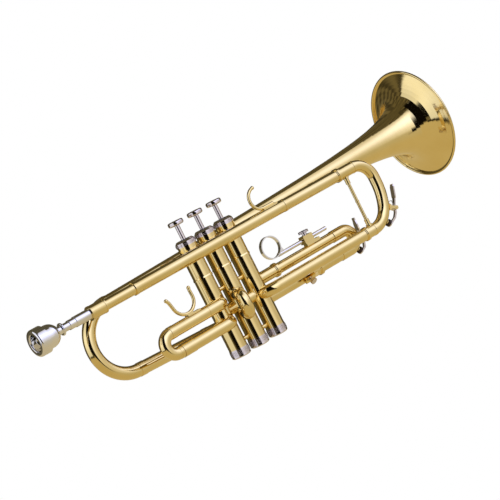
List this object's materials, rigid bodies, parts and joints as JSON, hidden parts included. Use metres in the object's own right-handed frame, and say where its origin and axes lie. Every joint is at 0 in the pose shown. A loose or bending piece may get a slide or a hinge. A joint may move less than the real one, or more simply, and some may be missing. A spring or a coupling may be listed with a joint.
{
  "type": "trumpet",
  "caption": "B flat trumpet with piston valves that spring back, tuning slides that pull out, finger ring, hooks, water keys and a removable mouthpiece.",
  "frame": {"origin": "mouth of the mouthpiece receiver, on the leadpipe's axis", "axes": "+X along the leadpipe towards the bell, +Z towards the finger buttons, +Y to the player's left"},
  "size_m": [0.547, 0.1218, 0.1786],
  "materials": {
    "gold_brass": "polished and lacquered",
    "nickel": "polished nickel plate",
    "silver": "polished silver plate",
    "monel": "ground",
    "spring_steel": "drawn wire",
    "cork": "dark cork",
    "felt": "felt"
  },
  "bodies": {
    "horn": {"mouthpiece_receiver": "gold_brass", "leadpipe": "gold_brass", "upper_slide_tube": "gold_brass", "lower_slide_tube": "gold_brass", "return_elbow": "gold_brass", "bell": "gold_brass", "bell_bow": "gold_brass", "bell_tail": "gold_brass", "bell_braces": "gold_brass", "valve_casing_1": "gold_brass", "valve_casing_2": "gold_brass", "valve_casing_3": "gold_brass", "crossover_tubes": "gold_brass", "casing_braces": "gold_brass", "top_cap_1": "nickel", "top_cap_2": "nickel", "top_cap_3": "nickel", "bottom_cap_1": "nickel", "bottom_cap_2": "nickel", "bottom_cap_3": "nickel", "valve_guides": "monel", "cap_felts": "felt", "first_fixed_tubes": "gold_brass", "second_fixed_tubes": "gold_brass", "third_fixed_tubes": "gold_brass", "pinky_hook": "gold_brass", "lyre_socket": "gold_brass"},
    "mouthpiece_body": {"mouthpiece": "silver"},
    "main_slide_body": {"main_slide": "gold_brass", "slide_brace": "gold_brass", "main_key_saddle": "gold_brass", "main_key_spring": "spring_steel"},
    "main_key": {"main_key_lever": "nickel", "main_key_cork": "cork"},
    "first_slide_body": {"first_slide": "gold_brass", "thumb_saddle": "gold_brass"},
    "second_slide_body": {"second_slide": "gold_brass"},
    "third_slide_body": {"third_slide": "gold_brass", "rod_clamp": "gold_brass", "third_key_saddle": "gold_brass"},
    "third_key": {"third_key_lever": "nickel", "third_key_cork": "cork"},
    "finger_ring": {"ring_rod": "silver"},
    "clamp_screw_body": {"clamp_screw": "nickel"},
    "lyre_screw_body": {"lyre_screw": "nickel"},
    "valve_1": {"piston_1": "monel", "valve_stem_1": "nickel", "finger_button_1": "nickel", "valve_spring_1": "spring_steel"},
    "valve_2": {"piston_2": "monel", "valve_stem_2": "nickel", "finger_button_2": "nickel", "valve_spring_2": "spring_steel"},
    "valve_3": {"piston_3": "monel", "valve_stem_3": "nickel", "finger_button_3": "nickel", "valve_spring_3": "spring_steel"}
  },
  "joints": [
    {"name": "mouthpiece_pull", "type": "slide", "parent": "horn", "child": "mouthpiece_body", "axis": [-1, 0, 0], "range_m": [0, 0.035]},
    {"name": "main_slide_pull", "type": "slide", "parent": "horn", "child": "main_slide_body", "axis": [1, 0, 0], "range_m": [0, 0.04]},
    {"name": "first_slide_pull", "type": "slide", "parent": "horn", "child": "first_slide_body", "axis": [-1, 0, 0], "range_m": [0, 0.015]},
    {"name": "second_slide_pull", "type": "slide", "parent": "horn", "child": "second_slide_body", "axis": [-0.3907, -0.9205, 0], "range_m": [0, 0.005]},
    {"name": "third_slide_throw", "type": "slide", "parent": "horn", "child": "third_slide_body", "axis": [1, 0, 0], "range_m": [0, 0.018]},
    {"name": "ring_adjust", "type": "slide", "parent": "third_slide_body", "child": "finger_ring", "axis": [1, 0, 0], "range_m": [-0.006, 0.006]},
    {"name": "clamp_screw_turn", "type": "hinge", "parent": "third_slide_body", "child": "clamp_screw_body", "pos_m": [0.2726, 0.0175, -0.04], "axis": [0, 0, 1], "continuous": true},
    {"name": "lyre_screw_turn", "type": "hinge", "parent": "horn", "child": "lyre_screw_body", "pos_m": [0.2468, 0.0074, -0.076], "axis": [0, -0.7071, -0.7071], "continuous": true},
    {"name": "valve_1_press", "type": "slide", "parent": "horn", "child": "valve_1", "axis": [0, 0, -1], "range_m": [0, 0.0148], "stiffness_N_per_m": 100, "springref_m": -0.015, "deforming": ["valve_spring_1"]},
    {"name": "valve_2_press", "type": "slide", "parent": "horn", "child": "valve_2", "axis": [0, 0, -1], "range_m": [0, 0.0148], "stiffness_N_per_m": 100, "springref_m": -0.015, "deforming": ["valve_spring_2"]},
    {"name": "valve_3_press", "type": "slide", "parent": "horn", "child": "valve_3", "axis": [0, 0, -1], "range_m": [0, 0.0148], "stiffness_N_per_m": 100, "springref_m": -0.015, "deforming": ["valve_spring_3"]},
    {"name": "main_key_press", "type": "hinge", "parent": "main_slide_body", "child": "main_key", "pos_m": [0.37813, 0, -0.05866], "axis": [0, -1, 0], "range_deg": [0, 18], "stiffness_Nm_per_rad": 0.05, "springref_deg": -28.65},
    {"name": "third_key_press", "type": "hinge", "parent": "third_slide_body", "child": "third_key", "pos_m": [0.3365, 0.0175, -0.0675], "axis": [0, -1, 0], "range_deg": [0, 12], "stiffness_Nm_per_rad": 0.05, "springref_deg": -28.65}
  ]
}
